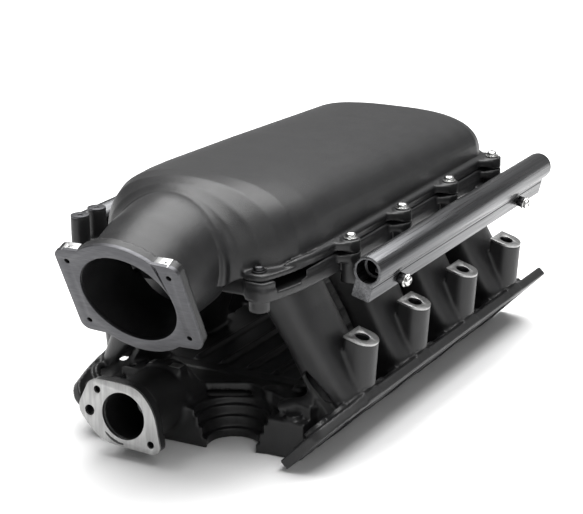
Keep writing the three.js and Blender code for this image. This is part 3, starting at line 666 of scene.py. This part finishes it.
def make_cover():
    field = Field((-132, -220, 8), (132, 370, 164), STEP)
    field.add((-110, -120, 80), (110, 352, 160), dome_distance())
    field.add((-64, -215, 12), (64, -20, 160), tube_distance(NECK_POINTS, NECK_RADII), 22)
    field.cut((-132, -130, 0), (132, 370, JOINT_Z + 0.3),
              lambda x, y, z: np.maximum(z - JOINT_Z - 0.3, -104 - y) + 0 * x)
    field.add((-116, -120, 80), (116, 350, 90), joint_layer(JOINT_OUTER, JOINT_Z + 0.3, LIP_TOP), 4)
    add_bead(field)
    add_ears(field, JOINT_Z + 0.3, lambda seat: seat)
    add_posts(field)
    add_throttle_flange(field)
    field.cut((-90, -220, 0), (90, -150, 164),
              lambda x, y, z: -FLANGE_SETBACK - throttle_coordinates(x, y, z)[2] + 0 * x)
    field.cut((-60, -230, 12), (60, -20, 160), tube_distance(NECK_BORE, NECK_BORE_RADII))
    field.cut((-104, -104, 78), (104, 346, 155), dome_distance(COVER_WALL), 3)
    for x, y, seat in COVER_BOLTS:
        for sign, _ in SIDES:
            field.cut((sign * x - 4, y - 4, 78), (sign * x + 4, y + 4, seat + 2),
                      rod_distance((sign * x, y, 70), (sign * x, y, seat + 3), 3.4))
    for u, v in THROTTLE_HOLES:
        start, end = throttle_point(u, v, 2), throttle_point(u, v, -10)
        field.cut(np.minimum(start, end) - 4, np.maximum(start, end) + 4, rod_distance(start, end, 3))
    return skin(field, "cover_casting")


# ---- materials ----
class Nodes:
    """A short way to write a node material."""

    def __init__(self, name):
        self.material = bpy.data.materials.new(name)
        self.material.use_nodes = True
        self.tree = self.material.node_tree
        self.shader = self.tree.nodes["Principled BSDF"]
        self.place = self.tree.nodes.new("ShaderNodeNewGeometry").outputs["Position"]

    def link(self, output, socket):
        self.tree.links.new(output, socket)

    def noise(self, scale, detail=3.0, stretch=None):
        node = self.tree.nodes.new("ShaderNodeTexNoise")
        node.inputs["Scale"].default_value = scale
        node.inputs["Detail"].default_value = detail
        vector = self.place
        if stretch:
            mapping = self.tree.nodes.new("ShaderNodeMapping")
            mapping.inputs["Scale"].default_value = stretch
            self.link(vector, mapping.inputs["Vector"])
            vector = mapping.outputs["Vector"]
        self.link(vector, node.inputs["Vector"])
        return node.outputs["Fac"]

    def ramp(self, value, low, high, dark, light):
        node = self.tree.nodes.new("ShaderNodeValToRGB")
        node.color_ramp.elements[0].position = low
        node.color_ramp.elements[1].position = high
        node.color_ramp.elements[0].color = (*dark, 1)
        node.color_ramp.elements[1].color = (*light, 1)
        self.link(value, node.inputs["Fac"])
        return node.outputs["Color"]

    def range(self, value, low, high):
        node = self.tree.nodes.new("ShaderNodeMapRange")
        node.inputs["To Min"].default_value = low
        node.inputs["To Max"].default_value = high
        node.inputs["From Min"].default_value = 0.3
        node.inputs["From Max"].default_value = 0.7
        self.link(value, node.inputs["Value"])
        return node.outputs["Result"]

    def bump(self, height, strength, distance, below=None):
        node = self.tree.nodes.new("ShaderNodeBump")
        node.inputs["Strength"].default_value = strength
        node.inputs["Distance"].default_value = distance
        self.link(height, node.inputs["Height"])
        if below is not None:
            self.link(below, node.inputs["Normal"])
        return node.outputs["Normal"]


def coated_casting():
    m = Nodes("coated_casting")
    m.link(m.ramp(m.noise(60), 0.3, 0.7, (0.007, 0.007, 0.0075), (0.012, 0.012, 0.0125)),
           m.shader.inputs["Base Color"])
    m.link(m.range(m.noise(900, 4), 0.34, 0.46), m.shader.inputs["Roughness"])
    m.shader.inputs["Metallic"].default_value = 0
    m.shader.inputs["Specular IOR Level"].default_value = 0.45
    grain = m.bump(m.noise(1100, 4), 0.4, 0.0005)
    m.link(m.bump(m.noise(160, 2), 0.12, 0.0008, grain), m.shader.inputs["Normal"])
    return m.material


def milled(name, dark, light, roughness, stretch):
    m = Nodes(name)
    m.link(m.ramp(m.noise(9, 6, stretch), 0.3, 0.7, dark, light), m.shader.inputs["Base Color"])
    m.link(m.range(m.noise(11, 5, stretch), roughness - 0.06, roughness + 0.08),
           m.shader.inputs["Roughness"])
    m.shader.inputs["Metallic"].default_value = 1
    m.link(m.bump(m.noise(12, 6, stretch), 0.25, 0.0003), m.shader.inputs["Normal"])
    return m.material


def rubber():
    m = Nodes("seal_rubber")
    m.link(m.ramp(m.noise(300), 0.3, 0.7, (0.012, 0.012, 0.012), (0.025, 0.025, 0.025)),
           m.shader.inputs["Base Color"])
    m.link(m.range(m.noise(500), 0.7, 0.85), m.shader.inputs["Roughness"])
    return m.material


COATED = coated_casting()
FACE_DARK = milled("dark_machined_face", (0.075, 0.075, 0.08), (0.1, 0.1, 0.105), 0.45, (9, 9, 60))
FACE_BRIGHT = milled("bare_machined_face", (0.3, 0.3, 0.3), (0.42, 0.42, 0.415), 0.4, (40, 4, 4))
ANODISED = milled("anodised_rail", (0.07, 0.071, 0.074), (0.13, 0.131, 0.135), 0.3, (60, 1.2, 60))
BRIGHT = milled("bright_steel", (0.55, 0.55, 0.54), (0.8, 0.8, 0.79), 0.22, (20, 20, 60))
DARK_STEEL = milled("black_oxide", (0.03, 0.03, 0.032), (0.06, 0.06, 0.062), 0.38, (30, 30, 30))
RUBBER = rubber()


# ---- crisp pieces ----
def place(point):
    return Vector(point) / 1000 + DATUM


def finished(obj, material, slot, *nodes):
    if not obj.data.materials:
        obj.data.materials.append(material)
    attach(obj, "root")
    if nodes:
        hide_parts(*nodes)
    return obj


def object_from(name, bm, bevel=0.0, smooth_angle=35):
    bmesh.ops.remove_doubles(bm, verts=bm.verts, dist=1e-6)
    bmesh.ops.recalc_face_normals(bm, faces=bm.faces)
    mesh = bpy.data.meshes.new(name)
    bm.to_mesh(mesh)
    bm.free()
    obj = bpy.data.objects.new(name, mesh)
    bpy.context.scene.collection.objects.link(obj)
    if bevel:
        modifier = obj.modifiers.new("edges", "BEVEL")
        modifier.width = bevel / 1000
        modifier.segments = 2
        modifier.limit_method = "ANGLE"
        modifier.angle_limit = math.radians(40)
        apply_modifiers(obj)
    mesh = obj.data
    mesh.shade_smooth()
    mesh.set_sharp_from_angle(angle=math.radians(smooth_angle))
    return obj


def apply_modifiers(obj):
    bpy.context.view_layer.update()
    evaluated = obj.evaluated_get(bpy.context.evaluated_depsgraph_get())
    mesh = bpy.data.meshes.new_from_object(evaluated)
    obj.modifiers.clear()
    obj.data = mesh


def cut_with(obj, cutter):
    modifier = obj.modifiers.new("cut", "BOOLEAN")
    modifier.operation = "DIFFERENCE"
    modifier.solver = "EXACT"
    modifier.use_self = True
    modifier.object = cutter
    apply_modifiers(obj)
    bpy.data.objects.remove(cutter)


def taken_back(obj):
    """An object's mesh, ready to be made into an object again; the first object goes."""
    bm = bmesh.new()
    bm.from_mesh(obj.data)
    bpy.data.objects.remove(obj)
    return bm


def prism(bm, outline, to_point, low, high):
    """Adds an outline given thickness: to_point turns (u, v, w) into a place."""
    bottom = [bm.verts.new(to_point(u, v, low)) for u, v in outline]
    top = [bm.verts.new(to_point(u, v, high)) for u, v in outline]
    bm.faces.new(bottom[::-1])
    bm.faces.new(top)
    for i in range(len(outline)):
        k = (i + 1) % len(outline)
        bm.faces.new((bottom[i], bottom[k], top[k], top[i]))


def circle(radius, count=48, u=0.0, v=0.0):
    angles = [2 * math.pi * i / count for i in range(count)]
    return [(u + radius * math.cos(a), v + radius * math.sin(a)) for a in angles]


def plate_with_holes(name, outline, holes, to_point, low, high, bevel, material, slot):
    bm = bmesh.new()
    prism(bm, outline, to_point, low, high)
    obj = object_from(name, bm)
    bm = bmesh.new()
    for hole in holes:
        prism(bm, hole, to_point, low - 3, high + 3)
    cut_with(obj, object_from(name + "_cut", bm))
    return finished(object_from(name, taken_back(obj), bevel, 30), material, slot)


def make_throttle_face():
    holes = [circle(THROTTLE_BORE, 96)] + [circle(2.6, 20, u, v) for u, v in THROTTLE_HOLES]
    plate_with_holes("throttle_face", throttle_outline(), holes,
                     lambda u, v, w: place(throttle_point(u, v, w)),
                     -4.0, 0.0, 0.5, FACE_DARK, "black_casting")


def make_ear_flats():
    """The bare flats on top of the throttle flange's upper ears."""
    for sign, side in SIDES:
        flat = [(sign * 39.6, -11.4), (sign * 55, -11.4), (sign * 55, -0.6), (sign * 39.6, -0.6)]
        plate_with_holes(f"throttle_ear_flat_{side}", flat, [circle(0.8, 10, sign * 50, -6)],
                         lambda u, v, w: place(throttle_point(u, w, v)),
                         THROTTLE_EAR - 1.2, THROTTLE_EAR + 0.05, 0.2, FACE_BRIGHT, "black_casting")


def make_water_face():
    x, y, z = WATER
    holes = [circle(WATER_BORE, 72, x, z)]
    holes += [circle(radius, count, x + dx, hole_z) for dx, hole_z, radius, count in WATER_HOLES]
    plate_with_holes("coolant_outlet_face", water_outline(), holes, lambda u, v, w: place((u, y + w, v)),
                     0.0, 2.6, 0.35, FACE_BRIGHT, "black_casting")
    strip = [(-66, -60), (-32, -60), (-32, -50), (-66, -50)]
    plate_with_holes("coolant_crossover_pad", strip, [circle(1.6, 12, -60, -55)],
                     lambda u, v, w: place((u, v, w)), -42, -40.2, 0.3, FACE_BRIGHT, "black_casting")


def make_injector_seats():
    arc = [(BOSS_HALF * math.cos(a), BOSS_HALF * math.sin(a) + BOSS_SHIFT)
           for a in np.linspace(-math.pi / 2, math.pi / 2, 25)]
    outline = [(BOSS_FLAT, BOSS_SHIFT - BOSS_HALF)] + arc + [(BOSS_FLAT, BOSS_SHIFT + BOSS_HALF)]
    for sign, side in SIDES:
        for k in range(4):
            y = k * BORE_PITCH + STAGGER[sign]

            def to_point(u, v, w, sign=sign, y=y):
                return place(injector_point(sign, y + v, u, w))
            plate_with_holes(f"injector_seat_{side}_{k + 1}", outline, [circle(INJECTOR_BORE, 40)],
                             to_point, -2.4, 0.0, 0.3, FACE_BRIGHT, "black_casting")


def make_post_tops():
    for i, y in enumerate(POST_YS):
        plate_with_holes(f"bracket_post_top_{i + 1}", circle(8.4, 48), [circle(2, 20)],
                         lambda u, v, w, y=y: place((POST_X + u, y + v, w)), 130.4, 132.6, 0.5, FACE_DARK,
                         "black_casting")


def rail_point(sign, y, out, up):
    x = RAIL_X + out * math.cos(TILT) + up * math.sin(TILT)
    return place((sign * x, y, RAIL_Z - out * math.sin(TILT) + up * math.cos(TILT)))


def make_rail(sign, side):
    half, depth, radius = 9.2, 28.5, 14.0
    shoulder = math.acos(half / radius)
    angles = np.linspace(-shoulder, math.pi + shoulder, 56)
    arc = [(radius * math.cos(a), radius * math.sin(a)) for a in angles]
    foot = [(-half, -depth + 0.8), (-half + 0.8, -depth), (half - 0.8, -depth), (half, -depth + 0.8)]
    groove = [(half, -14.4), (half - 0.6, -14.0), (half - 0.6, -13.5), (half, -13.1)]
    outline = foot + groove + arc

    def to_point(u, v, w):
        return rail_point(sign, w, u, v)
    bm = bmesh.new()
    prism(bm, outline, to_point, RAIL_FRONT, RAIL_REAR)
    obj = object_from(f"rail_{side}", bm)
    bm = bmesh.new()
    prism(bm, circle(9, 48), to_point, RAIL_FRONT + 10, RAIL_REAR - 10)
    prism(bm, circle(11.2, 56), to_point, RAIL_FRONT - 2, RAIL_FRONT + 17)
    prism(bm, circle(11.2, 56), to_point, RAIL_REAR - 17, RAIL_REAR + 2)
    for k in range(4):
        y = k * BORE_PITCH + STAGGER[sign]
        prism(bm, circle(7, 32), lambda u, v, w, y=y: rail_point(sign, y + v, u, w), -depth - 2, -8)
    cut_with(obj, object_from("rail_cut", bm))
    finished(object_from(f"rail_{side}", taken_back(obj), 0.35, 28), ANODISED, "anodised_rail",
             f"fuel_rail_{side}")


def turned(bm, profile, to_point, count=40):
    """A solid of revolution: profile is (radius, height) from the axis and back to it."""
    rings = [[bm.verts.new(to_point(u, v, h)) for u, v in circle(r, count)] for r, h in profile]
    for a, b in zip(rings, rings[1:]):
        for i in range(count):
            k = (i + 1) % count
            bm.faces.new((a[i], a[k], b[k], b[i]))
    bm.faces.new(rings[0][::-1])
    bm.faces.new(rings[-1])


def screw_and_washer(label, kind, to_point, material, length):
    """A button-head screw with a hexagonal socket on a flat washer; w = 0 is the seat."""
    washer_outer = 6.8 if kind == "cover" else 6.6
    thickness = 1.4
    slot = "bright_fastener" if material is BRIGHT else "dark_steel"
    bm = bmesh.new()
    prism(bm, circle(washer_outer, 48), to_point, 0.3, 0.3 + thickness)
    obj = object_from(f"{kind}_washer_piece_{label}", bm, 0.3)
    finished(obj, material, slot, f"{kind}_washer_{label}")
    base = 0.6 + thickness
    bm = bmesh.new()
    dome = [(3, base - length), (3, base), (4.7, base), (5, base + 0.4), (5, base + 1.6)]
    dome += [(5 * math.cos(a), base + 1.6 + 2.8 * math.sin(a)) for a in np.linspace(0.25, 1.05, 5)]
    turned(bm, dome, to_point)
    obj = object_from("screw", bm)
    bm = bmesh.new()
    prism(bm, circle(2.3, 6), to_point, base + 1.4, base + 8)
    cut_with(obj, object_from("socket", bm))
    name = "cover_screw" if kind == "cover" else "rail_bolt"
    finished(object_from(f"{name}_piece_{label}", taken_back(obj), 0, 30), material, slot,
             f"{name}_{label}")


def make_cover_screws():
    for i, (x, y, seat) in enumerate(COVER_BOLTS):
        for sign, side in SIDES:
            material = DARK_STEEL if i == 0 else BRIGHT
            screw_and_washer(f"{side}_{i + 1}", "cover",
                             lambda u, v, w: place((sign * x + u, y + v, seat + w)), material, 22)


def make_rail_fasteners():
    for sign, side in SIDES:
        for i, y in enumerate(RAIL_BOLT_YS):
            label = f"{side}_{i + 1}"

            def to_point(u, v, w, sign=sign, y=y):
                return rail_point(sign, y + u, 9.2 + w, -20 + v)
            bm = bmesh.new()
            turned(bm, [(3.4, 0.3), (5.4, 0.3), (5.4, 5.2), (4.9, COLLAR), (3.4, COLLAR)], to_point)
            finished(object_from(f"rail_collar_piece_{label}", bm, 0.2), DARK_STEEL, "dark_steel",
                     f"rail_collar_{label}")
            screw_and_washer(label, "rail", lambda u, v, w: to_point(u, v, w + COLLAR), BRIGHT, 38)


def make_rail_plugs():
    for sign, side in SIDES:
        bm = bmesh.new()
        y0 = RAIL_REAR - PLUG_DEPTH

        def to_point(u, v, w):
            return rail_point(sign, y0 + w, u, v)
        profile = [(9, 0), (10.9, 0.8), (10.9, 14), (PLUG_HEAD, 14), (PLUG_HEAD, 17), (PLUG_HEAD - 1, 18)]
        turned(bm, profile, to_point, 48)
        obj = object_from("plug", bm)
        bm = bmesh.new()
        prism(bm, circle(5, 6), to_point, 11, 22)
        cut_with(obj, object_from("socket", bm))
        finished(object_from(f"rail_plug_piece_{side}", taken_back(obj), 0, 30), DARK_STEEL, "dark_steel",
                 f"rail_plug_{side}")


# ---- studio ----
def make_camera():
    azimuth, elevation, roll = (math.radians(a) for a in (29.56, 18.13, -0.77))
    flat = math.cos(elevation)
    forward = Vector((-math.sin(azimuth) * flat, math.cos(azimuth) * flat, -math.sin(elevation)))
    level = Vector((math.cos(azimuth), math.sin(azimuth), 0))
    above = level.cross(forward)
    right = level * math.cos(roll) + above * math.sin(roll)
    up = above * math.cos(roll) - level * math.sin(roll)
    data = bpy.data.cameras.new("camera")
    data.lens = 122.64
    data.sensor_width = 36
    camera = bpy.data.objects.new("camera", data)
    bpy.context.scene.collection.objects.link(camera)
    turn = Matrix((right, up, -forward)).transposed().to_4x4()
    camera.matrix_world = Matrix.Translation(place((929.5, -1536.0, 644.7))) @ turn
    bpy.context.scene.camera = camera


def soft_light(name, location, target, size, power):
    data = bpy.data.lights.new(name, "AREA")
    data.shape = "RECTANGLE"
    data.size, data.size_y = size
    data.energy = power
    light = bpy.data.objects.new(name, data)
    light.location = location
    light.rotation_euler = (Vector(target) - Vector(location)).to_track_quat("-Z", "Y").to_euler()
    bpy.context.scene.collection.objects.link(light)


def make_studio():
    bm = bmesh.new()
    bmesh.ops.create_grid(bm, x_segments=8, y_segments=8, size=6)
    floor = object_from("floor", bm)
    floor.location.z = casting_low[2] - 0.0005
    m = Nodes("studio_floor")
    m.link(m.ramp(m.noise(3), 0.3, 0.7, (0.9, 0.9, 0.9), (0.93, 0.93, 0.93)), m.shader.inputs["Base Color"])
    m.shader.inputs["Roughness"].default_value = 0.7
    floor.data.materials.append(m.material)
    world = bpy.data.worlds.new("studio")
    world.use_nodes = True
    world.node_tree.nodes["Background"].inputs["Color"].default_value = (1, 1, 1, 1)
    world.node_tree.nodes["Background"].inputs["Strength"].default_value = 0.32
    bpy.context.scene.world = world
    bpy.context.scene.view_settings.view_transform = "Standard"
    soft_light("overhead", (0, 0.4, 2.4), (0, 0.1, 0), (3.0, 3.0), 175)
    soft_light("front_right", (1.5, -1.2, 1.1), (0, 0, 0.1), (0.7, 0.7), 5)


make_camera()
make_studio()
finished(make_lower_casting(), COATED, "black_casting", "lower_manifold")
finished(make_cover(), COATED, "black_casting", "plenum_cover")
make_throttle_face()
make_ear_flats()
make_water_face()
make_injector_seats()
make_post_tops()
for side_sign, side_name in SIDES:
    make_rail(side_sign, side_name)
make_rail_plugs()
make_cover_screws()
make_rail_fasteners()
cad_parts["plenum_seal"].data.materials.clear()
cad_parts["plenum_seal"].data.materials.append(RUBBER)
